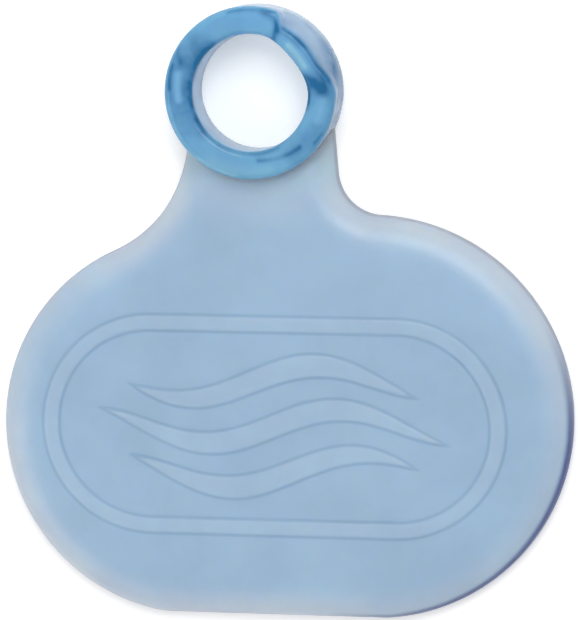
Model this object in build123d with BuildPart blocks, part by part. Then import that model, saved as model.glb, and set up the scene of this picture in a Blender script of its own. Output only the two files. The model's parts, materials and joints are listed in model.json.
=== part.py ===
from build123d import *
import os
from math import sqrt

# Sting dampener worn on the thumb: an oval palm pad, a short neck that bends, and a thumb ring.
# Millimetres. The part lies on its flat back, with +Z out of its front face. The origin is on
# the ring's axis in the back face, and +Y runs from the pad towards the ring.

# Thumb ring: a short collar, flush with the back and proud of the pad's front face
bore_diameter = 16.0  # relaxed, it stretches over the thumb
ring_wall = 3.85
ring_length = 8.0
ring_lip_round = 0.9  # front edge, outside
ring_bore_chamfer = 0.6  # front edge, inside
ring_back_chamfer = 0.4  # outer back edge, the bore's back edge is left sharp

# Palm pad: an oval between two round ends of different size, with a short straight lower edge
left_end_radius = 26.65
right_end_radius = 28.1
left_end_across = 9.15  # from the ring's axis to the centre of the left end
right_end_across = 15.9
left_end_drop = 1.65  # how far the left end's centre lies below the right end's
straight_edge_left = 4.05  # from the left end's centre out to the straight edge's left corner
straight_edge_right = 2.4
straight_edge_ease = 15.0  # eases the shallow corner at each end of the straight edge
pad_thickness = 4.5
pad_front_round = 3.2  # the soft pillowed edge of the front face
pad_back_chamfer = 0.4

# Neck: runs from the ring into the pad's upper edge, left of its middle
neck_length = 5.15  # from the ring's outer wall to the top of the pad's right end
neck_left = 9.7  # from the ring's axis to the neck's left side
neck_right = 11.2
neck_left_fillet = 18.0
neck_right_fillet = 6.3

# Flex zone: the stretch of the neck that bends, cut square across it
flex_length = 5.0
flex_start = 0.5  # from the ring's outer wall down to the flex zone
flex_gap = 0.02  # parts the flex zone from the ring's root, which turns on the bend

# Worked out from the sizes above
bore_radius = bore_diameter / 2
ring_radius = bore_radius + ring_wall
right_end = Vector(right_end_across, -ring_radius - neck_length - right_end_radius)
left_end = Vector(-left_end_across, right_end.Y - left_end_drop)
straight_left = left_end - (straight_edge_left, sqrt(left_end_radius**2 - straight_edge_left**2))
straight_right = right_end + (straight_edge_right, -sqrt(right_end_radius**2 - straight_edge_right**2))
flex_top = -ring_radius - flex_start
flex_bottom = flex_top - flex_length


def side_fillet_centre(end_centre, end_radius, neck_side, fillet_radius):
    """Centre of the arc tangent to one upright side of the neck and to one round end of the pad."""
    x = neck_side + (fillet_radius if neck_side > 0 else -fillet_radius)
    y = end_centre.Y + sqrt((end_radius + fillet_radius) ** 2 - (x - end_centre.X) ** 2)
    return Vector(x, y)


left_fillet = side_fillet_centre(left_end, left_end_radius, -neck_left, neck_left_fillet)
right_fillet = side_fillet_centre(right_end, right_end_radius, neck_right, neck_right_fillet)
left_on_pad = left_end + (left_fillet - left_end).normalized() * left_end_radius
right_on_pad = right_end + (right_fillet - right_end).normalized() * right_end_radius
left_on_neck = Vector(-neck_left, left_fillet.Y)
right_on_neck = Vector(neck_right, right_fillet.Y)

# Outline of pad and neck in one loop, up to the level of the ring's axis
with BuildSketch() as flat_outline:
    with BuildLine():
        Line(straight_left, straight_right)
        ThreePointArc(straight_right, right_end + (right_end_radius, 0), right_on_pad)
        RadiusArc(right_on_pad, right_on_neck, neck_right_fillet)
        Polyline(right_on_neck, (neck_right, 0), (-neck_left, 0), left_on_neck)
        RadiusArc(left_on_neck, left_on_pad, neck_left_fillet)
        ThreePointArc(left_on_pad, left_end - (left_end_radius, 0), straight_left)
    make_face()
    fillet(flat_outline.vertices().sort_by(Axis.Y)[0:2], straight_edge_ease)

# Pad and neck as one slab, soft-edged in front and eased behind
with BuildPart() as slab:
    add(flat_outline.sketch)
    extrude(amount=pad_thickness)
    fillet(slab.faces().sort_by(Axis.Z)[-1].edges(), pad_front_round)
    chamfer(slab.faces().sort_by(Axis.Z)[0].edges(), pad_back_chamfer)

# Palm pad: everything below the flex zone
with BuildPart() as palm_pad:
    add(slab.part)
    split(bisect_by=Plane.XZ.offset(-flex_bottom), keep=Keep.TOP)

# Neck web: the flex zone
with BuildPart() as neck_web:
    add(slab.part)
    split(bisect_by=Plane.XZ.offset(-flex_bottom), keep=Keep.BOTTOM)
    split(bisect_by=Plane.XZ.offset(flex_gap - flex_top), keep=Keep.TOP)

# Root of the ring: the end of the neck that stays square with the collar
with BuildPart() as ring_root:
    add(slab.part)
    split(bisect_by=Plane.XZ.offset(-flex_top), keep=Keep.BOTTOM)

# Thumb ring: the collar on its root, with the bore through both
with BuildPart() as thumb_ring:
    Cylinder(ring_radius, ring_length, align=(Align.CENTER, Align.CENTER, Align.MIN))
    fillet(thumb_ring.edges().sort_by(Axis.Z)[-1], ring_lip_round)
    chamfer(thumb_ring.edges().sort_by(Axis.Z)[0], ring_back_chamfer)
    add(ring_root.part)
    Hole(bore_radius)
    chamfer(thumb_ring.faces().sort_by(Axis.Z)[-1].inner_wires().edges(), ring_bore_chamfer)

os.makedirs("parts", exist_ok=True)
palm_pad.part.label = "palm_pad"
neck_web.part.label = "neck_web"
thumb_ring.part.label = "thumb_ring"
export_step(palm_pad.part, "parts/palm_pad.step")
export_step(neck_web.part, "parts/neck_web.step")
export_step(thumb_ring.part, "parts/thumb_ring.step")
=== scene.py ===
import json

import bmesh
import bpy
import numpy as np
from mathutils import Matrix, Vector


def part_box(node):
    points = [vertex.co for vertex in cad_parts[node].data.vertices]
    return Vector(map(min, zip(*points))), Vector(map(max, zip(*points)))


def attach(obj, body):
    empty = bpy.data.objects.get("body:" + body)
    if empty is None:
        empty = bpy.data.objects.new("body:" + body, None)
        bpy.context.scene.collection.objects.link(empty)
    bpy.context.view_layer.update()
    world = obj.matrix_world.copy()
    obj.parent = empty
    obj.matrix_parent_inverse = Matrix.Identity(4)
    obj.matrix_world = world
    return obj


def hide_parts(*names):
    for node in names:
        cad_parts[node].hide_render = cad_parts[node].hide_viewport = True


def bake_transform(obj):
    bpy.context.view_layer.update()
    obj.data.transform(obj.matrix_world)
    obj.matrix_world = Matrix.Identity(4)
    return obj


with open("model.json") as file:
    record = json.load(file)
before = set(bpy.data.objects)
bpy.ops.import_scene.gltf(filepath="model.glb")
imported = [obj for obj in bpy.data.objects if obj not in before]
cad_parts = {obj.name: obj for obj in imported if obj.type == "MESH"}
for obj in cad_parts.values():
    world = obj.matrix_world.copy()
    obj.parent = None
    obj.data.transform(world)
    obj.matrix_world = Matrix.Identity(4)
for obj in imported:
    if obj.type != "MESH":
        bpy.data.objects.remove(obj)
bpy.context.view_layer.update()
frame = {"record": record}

# ---------------------------------------------------------------------------------------------
# Palm pad and neck: one soft moulding in pale clear elastomer, poured flat side down. The front
# rises over a broad pillowed edge, the back is flat with a small eased edge, and the neck's end
# is knitted into the thumb ring's wall.
# ---------------------------------------------------------------------------------------------

MM = 0.001
same_point = 1e-7     # points that lie closer than this are one, in metres
pad_low, pad_high = [np.array(corner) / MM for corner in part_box("palm_pad")]
ring_low, ring_high = [np.array(corner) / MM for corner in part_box("thumb_ring")]
pad_thickness = pad_high[2]
ring_radius = ring_high[0]

# Outline: two round ends, a straight lower edge with eased corners, and the neck's two sides
left_end_radius = 26.65
right_end_radius = 28.1
left_end = np.array([pad_low[0] + left_end_radius, -46.75])
right_end = np.array([pad_high[0] - right_end_radius, -45.1])
edge_ease_radius = 15.0
neck_left = -9.7
neck_right = 11.2
neck_left_fillet = 18.0
neck_right_fillet = 6.3
neck_right_lean = np.radians(5.0)   # the right side leans in on its way up to the ring
straight_down, whole_turn = 1.5 * np.pi, 2 * np.pi

# Section
pillow_reach = 4.4    # how far in from the outline the front keeps rising
pillow_rise = 3.4     # how much of the thickness the rounded edge takes
face_crown = 0.3      # the face goes on rising towards the middle
crown_reach = 16.0
back_ease = 0.5
root_bite = 0.05      # how far the neck's end is sunk into the ring's wall
root_fillet = 1.3     # between the neck's front and the ring's wall

# The mouth: the row where the grids of neck and pad meet, level with the outline's fillets
mouth_left_y = -17.0
mouth_right_y = -15.0


def tangent_circle(side_x, end_centre, end_radius, fillet_radius):
    """Centre of the circle that touches the neck's upright side and one round end from outside:
    across by its radius from the side, and up by the rest of the centre distance."""
    x = side_x + np.sign(side_x) * fillet_radius
    y = end_centre[1] + np.sqrt((end_radius + fillet_radius) ** 2 - (x - end_centre[0]) ** 2)
    return np.array([x, y])


def eased_corner(end_centre, end_radius, side):
    """Centre of the easing circle inside a round end and on the straight lower edge: up by its
    radius from the edge, and sideways by the rest of the centre distance."""
    y = pad_low[1] + edge_ease_radius
    apart = end_radius - edge_ease_radius
    x = end_centre[0] + side * np.sqrt(apart ** 2 - (y - end_centre[1]) ** 2)
    return np.array([x, y])


def bearing(centre, point):
    """Angle of a point seen from a centre, in radians, from 0 up to a whole turn."""
    return np.arctan2(point[1] - centre[1], point[0] - centre[0]) % whole_turn


def along_towards(start, end, distance):
    """Point on the line through two points, that far from the first."""
    return start + (end - start) / np.linalg.norm(end - start) * distance


def arc(centre, radius, start, stop):
    """A circular run, from one angle to the other: its points are the centre plus the radius times
    the turning direction. A point's distance from it is measured along the radius, or from its
    nearer end where the point lies beyond the ends."""
    length = radius * abs(stop - start)
    low, high = min(start, stop), max(start, stop)

    def at(s):
        angle = start + (stop - start) * np.asarray(s) / length
        return centre + radius * np.stack([np.cos(angle), np.sin(angle)], -1)

    def distance(points):
        angle = np.arctan2(points[:, 1] - centre[1], points[:, 0] - centre[0]) % whole_turn
        radial = abs(np.linalg.norm(points - centre, axis=1) - radius)
        from_start = np.linalg.norm(points - at(0.0), axis=1)
        from_stop = np.linalg.norm(points - at(length), axis=1)
        beside = (angle >= low) & (angle <= high)
        return np.where(beside, radial, np.minimum(from_start, from_stop))
    return at, length, distance


def straight(start, stop):
    """A straight run between two points: its points are the start plus the direction times the
    length gone. A point's distance is measured from the nearest place on the run."""
    length = np.linalg.norm(stop - start)
    direction = (stop - start) / length

    def at(s):
        return start + direction * np.asarray(s)[..., None]

    def distance(points):
        along = np.clip((points - start) @ direction, 0, length)
        return np.linalg.norm(points - at(along), axis=1)
    return at, length, distance


def chain(runs):
    """Several runs end to end as one function of the fraction of their whole length."""
    ends = np.cumsum([0.0] + [length for _, length, _ in runs])

    def at(fraction):
        s = np.asarray(fraction) * ends[-1]
        which = np.clip(np.searchsorted(ends, s, side="right") - 1, 0, len(runs) - 1)
        points = np.zeros(s.shape + (2,))
        for k, (run_at, length, _) in enumerate(runs):
            here = which == k
            points[here] = run_at(np.clip(s[here] - ends[k], 0, length))
        return points
    return at


def on_circle(centre, radius, y, side):
    """Point of a circle at a given height, on its left (-1) or right (+1) half."""
    return np.array([centre[0] + side * np.sqrt(radius ** 2 - (y - centre[1]) ** 2), y])


left_fillet = tangent_circle(neck_left, left_end, left_end_radius, neck_left_fillet)
right_fillet = tangent_circle(neck_right, right_end, right_end_radius, neck_right_fillet)
left_ease = eased_corner(left_end, left_end_radius, -1)
right_ease = eased_corner(right_end, right_end_radius, 1)
left_on_pad = along_towards(left_end, left_fillet, left_end_radius)
right_on_pad = along_towards(right_end, right_fillet, right_end_radius)
left_eased = along_towards(left_end, left_ease, left_end_radius)
right_eased = along_towards(right_end, right_ease, right_end_radius)
left_mouth = on_circle(left_fillet, neck_left_fillet, mouth_left_y, 1)
right_mouth = on_circle(right_fillet, neck_right_fillet, mouth_right_y, -1)

# The left fillet runs into the ring's wall where the two circles meet: some way along the line
# from the ring's axis to the fillet's centre, and the rest square off it.
fillet_away = np.linalg.norm(left_fillet)
along_line = (fillet_away ** 2 + ring_radius ** 2 - neck_left_fillet ** 2) / (2 * fillet_away)
off_line = np.sqrt(ring_radius ** 2 - along_line ** 2)
left_root = np.array([[along_line, -off_line], [off_line, along_line]]) @ left_fillet / fillet_away

# The right side goes straight on from its fillet, until it meets the ring's wall.
lean_start = right_fillet - neck_right_fillet * np.array(
    [np.cos(neck_right_lean), np.sin(neck_right_lean)])
lean_way = np.array([-np.sin(neck_right_lean), np.cos(neck_right_lean)])
lean_below = lean_start @ lean_way
half_chord = np.sqrt(lean_below ** 2 - lean_start @ lean_start + ring_radius ** 2)
right_root = lean_start - lean_way * (lean_below + half_chord)

upper_left = [
    arc(left_end, left_end_radius, np.pi, bearing(left_end, left_on_pad)),
    arc(left_fillet, neck_left_fillet,
        bearing(left_fillet, left_on_pad), bearing(left_fillet, left_mouth))]
upper_right = [
    arc(right_fillet, neck_right_fillet,
        bearing(right_fillet, right_mouth), bearing(right_fillet, right_on_pad)),
    arc(right_end, right_end_radius, bearing(right_end, right_on_pad), 0.0)]
lower = [
    arc(left_end, left_end_radius, np.pi, bearing(left_end, left_eased)),
    arc(left_ease, edge_ease_radius, bearing(left_ease, left_eased), straight_down),
    straight(np.array([left_ease[0], pad_low[1]]), np.array([right_ease[0], pad_low[1]])),
    arc(right_ease, edge_ease_radius, straight_down, bearing(right_ease, right_eased)),
    arc(right_end, right_end_radius, bearing(right_end, right_eased), whole_turn)]
neck_left_side = [
    arc(left_fillet, neck_left_fillet,
        bearing(left_fillet, left_mouth), bearing(left_fillet, left_root))]
neck_right_side = [
    arc(right_fillet, neck_right_fillet,
        bearing(right_fillet, right_mouth), np.pi + neck_right_lean),
    straight(lean_start, right_root)]
outline_runs = upper_left + upper_right + lower + neck_left_side + neck_right_side


def edge_distance(points):
    """How far each point lies from the free outline of pad and neck: the least of its distances
    from the outline's runs."""
    return np.min([distance(points) for _, _, distance in outline_runs], axis=0)


def front_height(points):
    """Height of the front over the flat back: a quarter ellipse in from the outline, a low crown
    towards the middle, and a quarter-circle fillet up the ring's wall."""
    depth = edge_distance(points)
    pillow = np.sqrt(1 - (1 - np.clip(depth / pillow_reach, 0, 1)) ** 2)
    crown = 1 - (1 - np.clip(depth / crown_reach, 0, 1)) ** 2
    short = np.clip(1 - (np.linalg.norm(points, axis=1) - ring_radius) / root_fillet, 0, 1)
    fillet = root_fillet * (1 - np.sqrt(1 - short ** 2))
    return pad_thickness - pillow_rise * (1 - pillow) + face_crown * crown + fillet


def back_height(points):
    """Height of the back: zero, but for a small quarter circle at the outline."""
    short = 1 - np.clip(edge_distance(points) / back_ease, 0, 1)
    return back_ease * (1 - np.sqrt(1 - short ** 2))


# Emblem place: a rounded frame with straight sides, and three long waves inside it, all raised
# a little and drawn round by a fine groove, as the tool that moulds the pad leaves them.
emblem_centre = np.array([2.7, -46.2])
emblem_half_width = 32.4
emblem_half_height = 15.3
emblem_straight = emblem_half_width - emblem_half_height
frame_band = 2.3
emblem_raise = 0.12
groove_depth = 0.08
groove_width = 0.3
wave_length = 37.0
wave_swing = 2.5
wave_rows = [6.1, 0.0, -6.1]
wave_half_length = [21.5, 26.0, 21.5]
wave_half_width = 1.75
wave_shift = 0.5      # each wave sets off this share of its row's height to the left
wave_close = 0.6      # how sharply each wave closes at its ends


def stadium(fraction, inset, side):
    """Half of a frame line: a quarter turn, a straight side and a quarter turn, from the left end
    to the right end along the top (side 1) or the bottom (side -1), inset from the frame's outer
    line. The fraction is of the outer line, so that all insets share their straight points."""
    quarter = emblem_half_height * np.pi / 2
    s = np.asarray(fraction) * 2 * (quarter + emblem_straight) - quarter - emblem_straight
    x = np.clip(s, -emblem_straight, emblem_straight)
    angle = (s - x) / emblem_half_height
    radius = emblem_half_height - inset
    from_centre = np.stack([x + radius * np.sin(angle), side * radius * np.cos(angle)], -1)
    return emblem_centre + from_centre


def emblem_distance(points):
    """Signed distance from the emblem's lines, negative on what is raised: the frame's band lies
    between two lines a band apart, and a wave lies within a width that closes at both its ends."""
    x, y = (points - emblem_centre).T
    to_spine = np.hypot(np.maximum(abs(x) - emblem_straight, 0), y)
    nearest = abs(to_spine - (emblem_half_height - frame_band / 2)) - frame_band / 2
    for row, half_length in zip(wave_rows, wave_half_length):
        phase = 2 * np.pi * (x + wave_shift * row) / wave_length
        slope = wave_swing * 2 * np.pi / wave_length * np.cos(phase)
        span = np.clip(1 - (x / half_length) ** 2, 0, 1)
        width = wave_half_width * (np.sqrt(span) * (1 + wave_close) - wave_close)
        wave = (abs(y - row - wave_swing * np.sin(phase)) - width) / np.hypot(1, slope)
        nearest = np.minimum(nearest, wave)
    return nearest


def emblem_relief(points):
    """Height that the emblem adds: a plateau with a soft shoulder, less a bell-shaped groove
    along its line."""
    line = emblem_distance(points)
    shoulder = 0.5 - 0.5 * np.tanh(line / groove_width)
    return emblem_raise * shoulder - groove_depth * np.exp(-(line / groove_width) ** 2)


# Grid of the pad: the loop runs over the top half from left to right and back along the bottom
# half, and the rows go in from the outline over the frame's lines to the frame's middle line.
rim_row_count = 14
mouth_count, left_count, right_count = 54, 105, 130
mouth_start, mouth_end = 0.375, 0.607   # the share of the frame's top line that the mouth spans
rim_rows = pillow_reach * (1 - np.cos(np.linspace(0, np.pi / 2, rim_row_count)))
mouth_width = np.linalg.norm(right_mouth - left_mouth)
mouth_middle = np.linspace(pillow_reach, mouth_width - pillow_reach, mouth_count)[1:-1]
across = np.concatenate([rim_rows, mouth_middle, mouth_width - rim_rows[::-1]]) / mouth_width
left_share = np.linspace(0, 1, left_count)
right_share = np.linspace(0, 1, right_count)
upper_points = np.concatenate([
    chain(upper_left)(left_share)[:-1],
    left_mouth + (right_mouth - left_mouth) * across[:, None],
    chain(upper_right)(right_share)[1:]])
fractions = np.concatenate([
    left_share[:-1] * mouth_start,
    mouth_start + (mouth_end - mouth_start) * across,
    mouth_end + (1 - mouth_end) * right_share[1:]])
lower_points = chain(lower)(fractions)
loop = np.concatenate([upper_points, lower_points[-2:0:-1]])


def frame_loop(inset):
    """Points of one whole frame line in the loop's order."""
    return np.concatenate([stadium(fractions, inset, 1), stadium(fractions, inset, -1)[-2:0:-1]])


def pad_rows(between, insets):
    """Rows of the pad's grid: the rim's rows at set distances from the outline, towards the same
    point of the frame's outer line, a few shares of the rest of the way, and the frame's insets."""
    outer = frame_loop(0.0)
    reach = np.linalg.norm(outer - loop, axis=1, keepdims=True)
    direction = (outer - loop) / reach
    rest = reach - pillow_reach
    rows = [loop + direction * step for step in rim_rows]
    rows += [loop + direction * (pillow_reach + rest * share) for share in between]
    rows += [frame_loop(inset) for inset in insets]
    return np.array(rows)


def neck_rows(count):
    """Rows of the neck's grid, from the mouth to the ring: each is a straight run between the two
    sides, bowed more and more until the last lies on the ring's wall."""
    share = np.linspace(0, 1, count)
    left, right = chain(neck_left_side)(share), chain(neck_right_side)(share)
    rows = left[:, None] + (right - left)[:, None] * across[None, :, None]
    chord = (right_root - left_root) / np.linalg.norm(right_root - left_root)
    below = np.array([chord[1], -chord[0]])
    along = (left_root + (right_root - left_root) * across[:, None]) @ chord
    bow = np.sqrt((ring_radius - root_bite) ** 2 - along ** 2) - left_root @ below
    return rows + share[:, None, None] * bow[None, :, None] * below


def grid_faces(rows, columns, closed):
    """Quads of a grid of points numbered row by row, its columns closed into a loop or open."""
    number = np.arange(rows * columns).reshape(rows, columns)
    after = np.roll(number, -1, axis=1) if closed else number[:, 1:]
    here = number if closed else number[:, :-1]
    quads = np.stack([here[:-1], here[1:], after[1:], after[:-1]], -1)
    return quads.reshape(-1, 4)


def wall_faces(top, bottom):
    """Quads between two chains of points with the same count, in the chains' order."""
    return np.stack([top[:-1], top[1:], bottom[1:], bottom[:-1]], -1)


def moulded_piece(name, points, faces):
    """A closed mesh from points in millimetres: doubles on the seams are merged, and the faces
    are turned outwards."""
    mesh = bpy.data.meshes.new(name)
    mesh.from_pydata((points * MM).tolist(), [], faces.tolist())
    work = bmesh.new()
    work.from_mesh(mesh)
    bmesh.ops.remove_doubles(work, verts=work.verts, dist=same_point)
    bmesh.ops.recalc_face_normals(work, faces=work.faces)
    work.to_mesh(mesh)
    work.free()
    mesh.polygons.foreach_set("use_smooth", np.ones(len(mesh.polygons), bool))
    piece = bpy.data.objects.new(name, mesh)
    bpy.context.scene.collection.objects.link(piece)
    return piece


def mesh_points(piece):
    """All the points of a piece's mesh, in millimetres."""
    flat = np.zeros(len(piece.data.vertices) * 3, np.float32)
    piece.data.vertices.foreach_get("co", flat)
    return flat.reshape(-1, 3).astype(float) / MM


def keep_on_points(piece, name, values):
    """Stores one number for each point, for the material to read."""
    layer = piece.data.attributes.new(name, "FLOAT", "POINT")
    layer.data.foreach_set("value", values.astype(np.float32))


def laid_on(rows, front):
    """Points of a grid laid on the front or on the back of the pad, at the height of each."""
    flat = rows.reshape(-1, 2)
    height = front_height(flat) + emblem_relief(flat) if front else back_height(flat)
    return np.column_stack([flat, height])


# Rows between the rim and the frame as shares of the way, then insets from the frame's outer
# line, close together where the band's two grooves run.
front_between = [0.3, 0.6, 0.85, 0.95]
back_between = [0.5]
band_insets = [0, 0.2, 0.42, 0.7, 1.15, 1.6, 1.88, 2.1, 2.3, 2.5, 2.72]
past_band = 0.7
inner_row_count, back_row_count, neck_row_count = 46, 8, 44
inner_insets = np.linspace(frame_band + past_band, emblem_half_height, inner_row_count)
front_pad = pad_rows(front_between, np.concatenate([band_insets, inner_insets]))
back_pad = pad_rows(back_between, np.linspace(0, emblem_half_height, back_row_count))
neck = neck_rows(neck_row_count)
grids = [
    laid_on(front_pad, True), laid_on(neck, True), laid_on(back_pad, False), laid_on(neck, False)]
front_pad_first, front_neck_first, back_pad_first, back_neck_first, _ = np.cumsum(
    [0] + [len(grid) for grid in grids])

# The wall between front and back runs round the pad's loop, less the mouth, up the neck's two
# sides, and across the neck's end.
columns = len(across)
loop_count = len(loop)
mouth_last = left_count - 1 + columns - 1
free_loop = np.roll(np.arange(loop_count), -mouth_last)[:loop_count - columns + 2]
neck_number = np.arange(neck_row_count * columns).reshape(neck_row_count, columns)
walls = [wall_faces(free_loop + front_pad_first, free_loop + back_pad_first)] + [
    wall_faces(run + front_neck_first, run + back_neck_first)
    for run in (neck_number[:, 0], neck_number[:, -1], neck_number[-1])]
faces = np.concatenate([
    grid_faces(len(front_pad), loop_count, True) + front_pad_first,
    grid_faces(neck_row_count, columns, False) + front_neck_first,
    grid_faces(len(back_pad), loop_count, True) + back_pad_first,
    grid_faces(neck_row_count, columns, False) + back_neck_first] + walls)
pad = moulded_piece("palm_pad_and_neck", np.concatenate(grids), faces)

# What the material reads on each point: how far in from the outline it lies, how far from the
# emblem's lines, how far from the ring's wall, and how far out towards the lower right and
# towards the upper left shoulder, the two sides where the material paints shade.
points = mesh_points(pad)
flat = points[:, :2]
on_front = points[:, 2] > pad_thickness / 2
far_from_line = 20.0
shade_turn = np.radians(-38)
shade_direction = np.array([np.cos(shade_turn), np.sin(shade_turn)])
shoulder_turn = np.radians(145)
shoulder_direction = np.array([np.cos(shoulder_turn), np.sin(shoulder_turn)])
keep_on_points(pad, "edge_depth", edge_distance(flat))
keep_on_points(pad, "emblem_line", np.where(on_front, emblem_distance(flat), far_from_line))
keep_on_points(pad, "root_distance", np.linalg.norm(flat, axis=1) - ring_radius)
keep_on_points(pad, "shaded_side", (flat - right_end) @ shade_direction / right_end_radius)
keep_on_points(pad, "shaded_shoulder", (flat - left_end) @ shoulder_direction / left_end_radius)


def add_node(tree, kind, inputs, **settings):
    """Adds a shader node with its settings, and gives its inputs a plain value each or a link."""
    made = tree.nodes.new(kind)
    for name, value in settings.items():
        setattr(made, name, value)
    for name, value in inputs.items():
        if isinstance(value, bpy.types.NodeSocket):
            tree.links.new(value, made.inputs[name])
        else:
            made.inputs[name].default_value = value
    return made


def ramp(tree, value, low, high, at_low=0.0, at_high=1.0):
    """Soft step of a value: one number up to low, another from high, and an S curve between."""
    limits = {"From Min": low, "From Max": high, "To Min": at_low, "To Max": at_high}
    node = add_node(
        tree, "ShaderNodeMapRange", {"Value": value, **limits}, interpolation_type="SMOOTHSTEP")
    return node.outputs["Result"]


def combined(tree, operation, first, second=0.0):
    """One sum, product or other operation of two numbers."""
    return add_node(tree, "ShaderNodeMath", {0: first, 1: second}, operation=operation).outputs[0]


def mixed(tree, share, first, second):
    """One colour fading into another by a share."""
    node = add_node(
        tree, "ShaderNodeMix", {"Factor": share, "A": first, "B": second}, data_type="RGBA")
    return node.outputs["Result"]


def kept(tree, name):
    """The number kept on a piece's points under a name."""
    return add_node(tree, "ShaderNodeAttribute", {}, attribute_name=name).outputs["Fac"]


def noise(tree, **values):
    """A cloudy noise that stays with the piece's own place."""
    place = tree.nodes.new("ShaderNodeTexCoord").outputs["Object"]
    return add_node(tree, "ShaderNodeTexNoise", {"Vector": place, **values}).outputs["Fac"]


noise_low, noise_high = 0.3, 0.7    # nearly all of a noise's values lie between these
cloud_scale, cloud_detail, cloud_roughness = 110.0, 3.0, 0.55
cloud_depth = 0.04                  # how far the body's brightness wanders
grain_scale, grain_detail = 1800.0, 2.0
grain_depth = 0.03                  # how far the roughness wanders
skin_bump, skin_height = 0.25, 0.00003
elastomer_ior = 1.45
skin_gloss = 0.3                    # a plain glossy plastic has 0.5
scatter_by_colour = (0.6, 0.8, 1.0)
scatter_depth = 0.003
depth_colour = (0.3, 0.5, 0.95)     # what clear light turns to on its way through


def elastomer_tone():
    """Shader group of the elastomer's look: the body's colour fades to a thin or a deep one by
    their shares, which also carry the painted light and painted shade the materials feed in, cloudy
    as a moulding that cooled unevenly, and a fine grain ripples the skin."""
    group = bpy.data.node_groups.new("elastomer_tone", "ShaderNodeTree")
    colour, number = "NodeSocketColor", "NodeSocketFloat"
    for name, kind in (("Body", colour), ("Thin", colour), ("Deep", colour), ("Thin Share", number),
                       ("Deep Share", number), ("Matt", number)):
        group.interface.new_socket(name, in_out="INPUT", socket_type=kind)
    for name, kind in (("Color", colour), ("Roughness", number), ("Height", number)):
        group.interface.new_socket(name, in_out="OUTPUT", socket_type=kind)
    given = group.nodes.new("NodeGroupInput").outputs
    clouds = noise(group, Scale=cloud_scale, Detail=cloud_detail, Roughness=cloud_roughness)
    grain = noise(group, Scale=grain_scale, Detail=grain_detail)
    thinned = mixed(group, given["Thin Share"], given["Body"], given["Thin"])
    deepened = mixed(group, given["Deep Share"], thinned, given["Deep"])
    brightness = ramp(group, clouds, noise_low, noise_high, 1 - cloud_depth, 1 + cloud_depth)
    clouded = add_node(group, "ShaderNodeHueSaturation", {"Value": brightness, "Color": deepened})
    roughening = ramp(group, grain, noise_low, noise_high, -grain_depth, grain_depth)
    add_node(group, "NodeGroupOutput", {
        "Color": clouded.outputs["Color"],
        "Roughness": combined(group, "ADD", given["Matt"], roughening),
        "Height": combined(group, "ADD", grain, clouds)})
    return group


def clear_elastomer(name, colours, matt, clearness, density):
    """Clear soft elastomer: part of the light goes straight through and takes colour on the way,
    the rest is scattered inside and comes back softly. Returns the material and its tone node."""
    material = bpy.data.materials.new(name)
    material.use_nodes = True
    tree = material.node_tree
    tree.nodes.clear()
    body, thin, deep = colours
    tone_node = add_node(
        tree, "ShaderNodeGroup", {
            "Body": (*body, 1), "Thin": (*thin, 1), "Deep": (*deep, 1), "Matt": matt},
        node_tree=tone)
    bump = add_node(tree, "ShaderNodeBump", {
        "Strength": skin_bump, "Distance": skin_height, "Height": tone_node.outputs["Height"]})
    surface = add_node(tree, "ShaderNodeBsdfPrincipled", {
        "Base Color": tone_node.outputs["Color"], "Roughness": tone_node.outputs["Roughness"],
        "Normal": bump.outputs["Normal"], "IOR": elastomer_ior, "Transmission Weight": clearness,
        "Specular IOR Level": skin_gloss,
        "Subsurface Weight": 1.0, "Subsurface Radius": scatter_by_colour,
        "Subsurface Scale": scatter_depth})
    depth = add_node(tree, "ShaderNodeVolumeAbsorption", {
        "Color": (*depth_colour, 1), "Density": density})
    add_node(tree, "ShaderNodeOutputMaterial", {
        "Surface": surface.outputs["BSDF"], "Volume": depth.outputs["Volume"]})
    return material, tone_node


tone = elastomer_tone()

# Tints of the pad
pad_body = (0.55, 0.73, 0.88)
# The rim's pale tint is partly its thinness and partly painted light, kept full on the lit sides.
pad_thin_and_lit = (0.80, 0.87, 0.97)       # the pillowed rim and the emblem's raised parts
# Painted light on the neck's end, against the shade the ring casts there.
pad_root_painted_light = (0.67, 0.84, 1.0)        # the neck's end
pad_line = (0.2, 0.4, 0.55)         # the emblem's grooves
# The next two are painted shade: a fine dark line all round the edge, and deep blue on the lower
# right.
pad_outline_shade = (0.27, 0.27, 0.31)        # the fine dark outline
pad_painted_shade = (0.03, 0.07, 0.28)       # the outline on the shaded side
pad_matt, pad_clearness, pad_density = 0.34, 0.55, 22.0

# Where they show, as the reach of each in millimetres, or in shares of the way to the shaded
# side or the shaded upper left shoulder, where painted light and shade fall, and its strength
rim_reach, rim_strength = (0.5, 5.0), 0.95
rim_fade, rim_strength_shaded = (0.2, 0.9), 0.55
shoulder_fade, rim_strength_far = (0.72, 0.96), 0.5
root_reach, root_light_strength = (0.0, 9.0), 0.75
raised_reach, raised_strength = (-0.3, 0.0), 0.16
line_reach, line_strength = (0.08, 0.36), 0.34
outline_reach, outline_shade_strength = (0.02, 0.36), 0.6
edge_reach = (0.35, 1.15)
shade_reach, shade_least = (0.3, 0.9), 0.08

pad_material, pad_tone = clear_elastomer(
    "clear_blue_pad", (pad_body, pad_thin_and_lit, pad_painted_shade), pad_matt, pad_clearness, pad_density)
tree = pad_material.node_tree
edge_depth, emblem_line = kept(tree, "edge_depth"), kept(tree, "emblem_line")
root_distance, shaded_side = kept(tree, "root_distance"), kept(tree, "shaded_side")
shaded_shoulder = kept(tree, "shaded_shoulder")

# Painted light on the rim: its pale tint, which its thinness gives, is kept full on the lit upper
# and right sides and faded as painted shade towards the lower right and the upper left shoulder.
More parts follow.
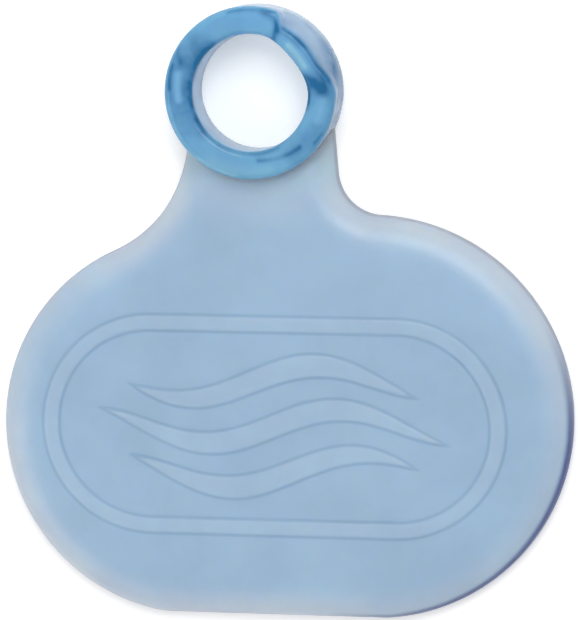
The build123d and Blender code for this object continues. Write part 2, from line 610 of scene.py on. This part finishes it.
rim_shade_fading = combined(
    tree, "MULTIPLY", ramp(tree, shaded_side, *rim_fade, 1.0, rim_strength_shaded),
    ramp(tree, shaded_shoulder, *shoulder_fade, 1.0, rim_strength_far))
rim_thin_and_lit_share = combined(
    tree, "MULTIPLY", ramp(tree, edge_depth, *rim_reach, rim_strength, 0.0), rim_shade_fading)
# Painted light at the neck's end: a paler, bluer tint near the ring that lifts the shade the ring
# casts on the neck.
root_light_share = ramp(tree, root_distance, *root_reach, root_light_strength, 0.0)
raised_share = ramp(tree, emblem_line, *raised_reach, raised_strength, 0.0)
thin_and_lit_share = combined(
    tree, "MAXIMUM", combined(tree, "MAXIMUM", rim_thin_and_lit_share, root_light_share), raised_share)
near_root = ramp(tree, root_distance, *root_reach, 1.0, 0.0)
tree.links.new(thin_and_lit_share, pad_tone.inputs["Thin Share"])
tree.links.new(mixed(tree, near_root, (*pad_thin_and_lit, 1), (*pad_root_painted_light, 1)), pad_tone.inputs["Thin"])

off_line = combined(tree, "ABSOLUTE", emblem_line)
line_share = ramp(tree, off_line, *line_reach, line_strength, 0.0)
# Painted shade at the edge: a fine dark line all round the outline, and, near the outline on the
# lower right, the side away from the lamps, a deep blue.
outline_shade_share = ramp(tree, edge_depth, *outline_reach, outline_shade_strength, 0.0)
near_edge = ramp(tree, edge_depth, *edge_reach, 1.0, 0.0)
in_shade = ramp(tree, shaded_side, *shade_reach, shade_least, 1.0)
shade_share = combined(tree, "MULTIPLY", near_edge, in_shade)
line_and_shade_share = combined(
    tree, "MAXIMUM", combined(tree, "MAXIMUM", shade_share, line_share), outline_shade_share)
edge_shade_tint = mixed(tree, in_shade, (*pad_outline_shade, 1), (*pad_painted_shade, 1))
tree.links.new(line_and_shade_share, pad_tone.inputs["Deep Share"])
tree.links.new(mixed(tree, near_edge, (*pad_line, 1), edge_shade_tint), pad_tone.inputs["Deep"])

pad.data.materials.append(pad_material)
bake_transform(pad)
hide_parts("palm_pad", "neck_web")

# ---------------------------------------------------------------------------------------------
# Thumb ring: a thick collar of deeper blue clear elastomer, which stretches over the thumb. It
# is moulded in one with the neck. At the upper right its wall leans in. Dark lines and paler
# streaks are painted on it, standing in for the light its clear rounded wall bends and shades.
# ---------------------------------------------------------------------------------------------

bore = next(mount for mount in frame["record"]["mounts"] if mount["name"] == "thumb_bore")
bore_radius = bore["dims"]["r_mm"]
ring_length = ring_high[2]
ring_wall = ring_radius - bore_radius
ring_front_lip = 0.9
ring_back_lip = 0.4
bore_back_lip = 0.1
ring_turns = 512
section_counts = [2, 10, 22, 10]      # points along the back, the outer wall, the front, the bore
lip_count = 8

# The lean, in degrees round the ring and millimetres
lean_from, lean_to, lean_ease = 28.0, 63.0, (28.0, 9.0)
press_from, press_to, press_ease = 38.0, 44.0, (42.0, 36.0)
lean_low = 2.5                        # it starts at this height
lean_outside = 1.7
press_inside = 0.6


def rounded_section(corners, radii, counts, corner_count):
    """A closed outline of straight sides with quarter-turn corners: each corner's arc starts and
    ends its radius away along the two sides, and each side gets its count of points."""
    found = []
    for k, (corner, radius) in enumerate(zip(corners, radii)):
        following = (k + 1) % len(corners)
        before = corners[k - 1] - corner
        after = corners[following] - corner
        side = np.linalg.norm(after)
        before, after = before / np.linalg.norm(before), after / side
        angle = np.linspace(0, np.pi / 2, corner_count)[:, None]
        found.append(corner + radius * (before * (1 - np.sin(angle)) + after * (1 - np.cos(angle))))
        along = np.linspace(radius, side - radii[following], counts[k] + 2)[1:-1, None]
        found.append(corner + after * along)
    return np.concatenate(found)


def smooth(value, low, high):
    """Soft step from 0 at low to 1 at high, as 3 t squared less 2 t cubed."""
    share = np.clip((value - low) / (high - low), 0, 1)
    return share * share * (3 - 2 * share)


def turned_near(turn, middle):
    """The same angle in degrees, less than half a turn from a middle one."""
    return (turn - middle + 180) % 360 - 180 + middle


def window(turn, start, end, ease):
    """1 between two angles in degrees, with a soft step before the first and past the second."""
    turn = turned_near(turn, (start + end) / 2)
    return smooth(turn, start - ease[0], start) * (1 - smooth(turn, end, end + ease[1]))


section = rounded_section(
    np.array([
        [bore_radius, 0], [ring_radius, 0], [ring_radius, ring_length], [bore_radius, ring_length]]),
    [bore_back_lip, ring_back_lip, ring_front_lip, ring_front_lip], section_counts, lip_count)
turns = np.linspace(-0.5 * np.pi, 1.5 * np.pi, ring_turns + 1)[:-1]
turn = np.broadcast_to(np.degrees(turns)[:, None], (ring_turns, len(section)))
radius = np.broadcast_to(section[:, 0], turn.shape)
height = np.broadcast_to(section[:, 1], turn.shape)
wall_share = (radius - bore_radius) / ring_wall
risen = smooth(height, lean_low, ring_length)
leaning = window(turn, lean_from, lean_to, lean_ease) * risen
pressed = window(turn, press_from, press_to, press_ease) * risen
leaned = radius - lean_outside * leaning * wall_share - press_inside * pressed * (1 - wall_share)
ring_points = np.stack(
    [leaned * np.cos(np.radians(turn)), leaned * np.sin(np.radians(turn)), height], -1)
number = np.arange(turn.size).reshape(turn.shape)
next_turn = np.roll(number, -1, 0)
quads = np.stack([number, next_turn, np.roll(next_turn, -1, 1), np.roll(number, -1, 1)], -1)
collar = moulded_piece("thumb_collar", ring_points.reshape(-1, 3), quads.reshape(-1, 4))

# Painted refraction marks: dark lines and paler streaks standing in for the light the clear collar
# bends, and a few broad ones that paint shade over whole patches. Each has the angle in degrees
# and the place in millimetres where it starts and where it ends, then a half width and a depth.
# Places run out over the front from the bore's edge, and on down the outer wall, and a negative
# depth is a paler streak.
painted_refraction_marks = [
    (104, 3.4, 76, 3.3, 0.34, 0.7), (77, 3.3, 67, 2.7, 0.8, 1.0), (67, 2.4, 65, 0.0, 0.55, 1.0),
    (60, 3.7, 14, 3.6, 0.95, 1.1), (50, 1.5, 26, 1.5, 0.6, -1.0), (15, 0.2, 5, 2.0, 1.0, 1.25),
    (6, 0.0, -14, -0.3, 0.6, 1.0), (-6, 2.2, -20, 2.1, 0.7, -0.7), (-46, 2.1, -82, 1.3, 0.36, 0.6),
    (-29, 3.5, -36, 3.3, 0.3, 0.5), (132, -0.3, 218, -0.3, 1.35, 1.15),
    (166, 2.1, 186, 1.8, 0.5, -0.9), (161, 3.3, 178, 3.1, 0.3, 0.6),
    (150, 3.4, 157, 2.3, 0.45, 0.35), (-62, 0.3, -140, 0.3, 0.4, 0.45),
    (-100, 3.6, -128, 3.6, 0.3, -0.7), (36, 9.6, 4, 9.6, 2.2, 0.7), (4, 9.8, -24, 9.4, 3.0, 1.15),
    (10, 6.6, -18, 6.2, 2.2, 0.7), (122, 5.4, 66, 5.6, 1.0, 0.35), (12, 2.2, -50, 2.2, 1.6, 0.32),
    (140, 2.2, 212, 2.2, 1.5, 0.45), (-75, 2.6, -118, 2.6, 1.2, -0.4)]
bore_edge_width, outer_edge_width, front_edge_strength = 0.7, 0.5, 0.16


def painted_refraction(turn, place):
    """Depth of the painted refraction marks at each place on the unrolled ring: the sum of a bell
    over the distance from each mark's line, and a fainter one along the front's two edges, a
    painted dark edge line."""
    around = np.radians(bore_radius + ring_wall / 2)
    depth = np.zeros_like(turn)
    for start, start_place, end, end_place, half_width, strength in painted_refraction_marks:
        x = (turned_near(turn, (start + end) / 2) - start) * around
        y = place - start_place
        run_x, run_y = (end - start) * around, end_place - start_place
        along = np.clip((x * run_x + y * run_y) / (run_x ** 2 + run_y ** 2), 0, 1)
        away = np.hypot(x - along * run_x, y - along * run_y)
        depth += strength * np.exp(-(away / half_width) ** 2)
    bore_edge = np.exp(-(place / bore_edge_width) ** 2)
    outer_edge = np.exp(-((place - ring_wall) / outer_edge_width) ** 2)
    return depth + front_edge_strength * (bore_edge + outer_edge)


# The paler tint of the two walls comes in between two depths below the front: quickly outside,
# slowly in the bore
outside_tint, bore_tint = (0.3, 2.0), (0.6, 6.5)
outer_wall = wall_share > 0.5
beyond = np.where(outer_wall, 1, -1) * (ring_length - height)
wall_top = ring_length - np.where(outer_wall, outside_tint[0], bore_tint[0])
wall_low = ring_length - np.where(outer_wall, outside_tint[1], bore_tint[1])
keep_on_points(collar, "painted_refraction", painted_refraction(turn, radius - bore_radius + beyond).ravel())
keep_on_points(collar, "wall", (1 - smooth(height, wall_low, wall_top)).ravel())

# Tints of the ring, and the blotches that break up its painted refraction marks
ring_body = (0.25, 0.59, 0.85)
ring_painted_pale = (0.43, 0.77, 0.96)       # the paler streaks
ring_thin = (0.52, 0.70, 0.87)        # the walls
ring_painted_dark = (0.005, 0.19, 0.41)       # the painted dark refraction lines
ring_matt, ring_clearness, ring_density = 0.23, 0.5, 24.0
mark_strength = 0.82
blotch_scale, blotch_detail = 330.0, 2.0
blotch_least, blotch_most = 0.75, 1.2
blotch_ground = 0.1
streak_reach = (-0.9, -0.05)

ring_material, ring_tone = clear_elastomer(
    "clear_blue_ring", (ring_body, ring_thin, ring_painted_dark), ring_matt, ring_clearness, ring_density)
tree = ring_material.node_tree
# Painted light and shade on the collar: the marks darken it towards the dark tint, and where they
# run below zero they paint paler streaks.
blotches = noise(tree, Scale=blotch_scale, Detail=blotch_detail)
mark = combined(
    tree, "MULTIPLY", kept(tree, "painted_refraction"),
    ramp(tree, blotches, noise_low, noise_high, blotch_least, blotch_most))
mark = combined(
    tree, "ADD", mark, ramp(tree, blotches, noise_low, noise_high, -blotch_ground, blotch_ground))
mark_share = combined(tree, "MULTIPLY", combined(tree, "MAXIMUM", mark, 0.0), mark_strength)
streak_share = ramp(tree, mark, *streak_reach, 1.0, 0.0)
tree.links.new(mark_share, ring_tone.inputs["Deep Share"])
tree.links.new(
    mixed(tree, streak_share, (*ring_body, 1), (*ring_painted_pale, 1)), ring_tone.inputs["Body"])
tree.links.new(kept(tree, "wall"), ring_tone.inputs["Thin Share"])
collar.data.materials.append(ring_material)
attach(collar, "ring")
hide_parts("thumb_ring")

# ---------------------------------------------------------------------------------------------
# Floor, lamps and camera: a sheet of white paper just under the part, which glows a little
# where it is seen, a plain bright room, two soft lamps, and a camera that looks down from the
# upper right.
# ---------------------------------------------------------------------------------------------

floor_half = 2.5
floor_height = -0.0001
floor_glow = 0.26
paper_colour, paper_matt = (0.9, 0.9, 0.9), 0.9
room_light = 0.6

floor_mesh = bpy.data.meshes.new("floor")
floor_corners = [
    (x * floor_half, y * floor_half, floor_height) for x, y in ((-1, -1), (1, -1), (1, 1), (-1, 1))]
floor_mesh.from_pydata(floor_corners, [], [(0, 1, 2, 3)])
floor = bpy.data.objects.new("floor", floor_mesh)
bpy.context.scene.collection.objects.link(floor)
paper = bpy.data.materials.new("white_paper")
paper.use_nodes = True
tree = paper.node_tree
tree.nodes.clear()
surface = add_node(tree, "ShaderNodeBsdfPrincipled", {
    "Base Color": (*paper_colour, 1), "Roughness": paper_matt})
path = tree.nodes.new("ShaderNodeLightPath").outputs
reflected = combined(tree, "ADD", path["Is Camera Ray"], path["Is Glossy Ray"])
seen = combined(tree, "ADD", reflected, path["Is Transmission Ray"])
strength = combined(tree, "MULTIPLY", combined(tree, "MINIMUM", seen, 1.0), floor_glow)
glow = add_node(tree, "ShaderNodeEmission", {"Color": (1, 1, 1, 1), "Strength": strength})
both = add_node(tree, "ShaderNodeAddShader", {
    0: surface.outputs["BSDF"], 1: glow.outputs["Emission"]})
add_node(tree, "ShaderNodeOutputMaterial", {"Surface": both.outputs["Shader"]})
floor_mesh.materials.append(paper)

room = bpy.data.worlds.new("studio")
bpy.context.scene.world = room
room.use_nodes = True
room.node_tree.nodes["Background"].inputs["Color"].default_value = (1, 1, 1, 1)
room.node_tree.nodes["Background"].inputs["Strength"].default_value = room_light

lamp_aim = (0, -0.03, 0)
key_place, key_size, key_power = (0.14, 0.36, 0.64), 0.42, 2.9
fill_place, fill_size, fill_power = (-0.55, -0.3, 0.5), 0.5, 1.15


def soft_lamp(name, place, size, power):
    """A square soft lamp, turned from its place towards the middle of the part."""
    lamp = bpy.data.lights.new(name, "AREA")
    lamp.size = size
    lamp.energy = power
    lamp_object = bpy.data.objects.new(name, lamp)
    lamp_object.location = place
    towards = Vector(lamp_aim) - Vector(place)
    lamp_object.rotation_euler = towards.to_track_quat("-Z", "Y").to_euler()
    bpy.context.scene.collection.objects.link(lamp_object)


soft_lamp("key", key_place, key_size, key_power)
soft_lamp("fill", fill_place, fill_size, fill_power)

camera_place = Vector((0.10512, 0.03969, 0.59005))
camera_target = Vector((0.004619, -0.030212, 0.0026))
camera = bpy.data.cameras.new("camera")
camera.sensor_fit = "HORIZONTAL"
camera.sensor_width = 36.0
camera.lens = 271.12
camera.clip_start = 0.01
camera_object = bpy.data.objects.new("camera", camera)
camera_object.location = camera_place
backwards = (camera_place - camera_target).normalized()
sideways = Vector((0, 1, 0)).cross(backwards).normalized()
upwards = backwards.cross(sideways)
camera_object.rotation_euler = Matrix((sideways, upwards, backwards)).transposed().to_euler()
bpy.context.scene.collection.objects.link(camera_object)
bpy.context.scene.camera = camera_object
bpy.context.scene.view_settings.view_transform = "Standard"
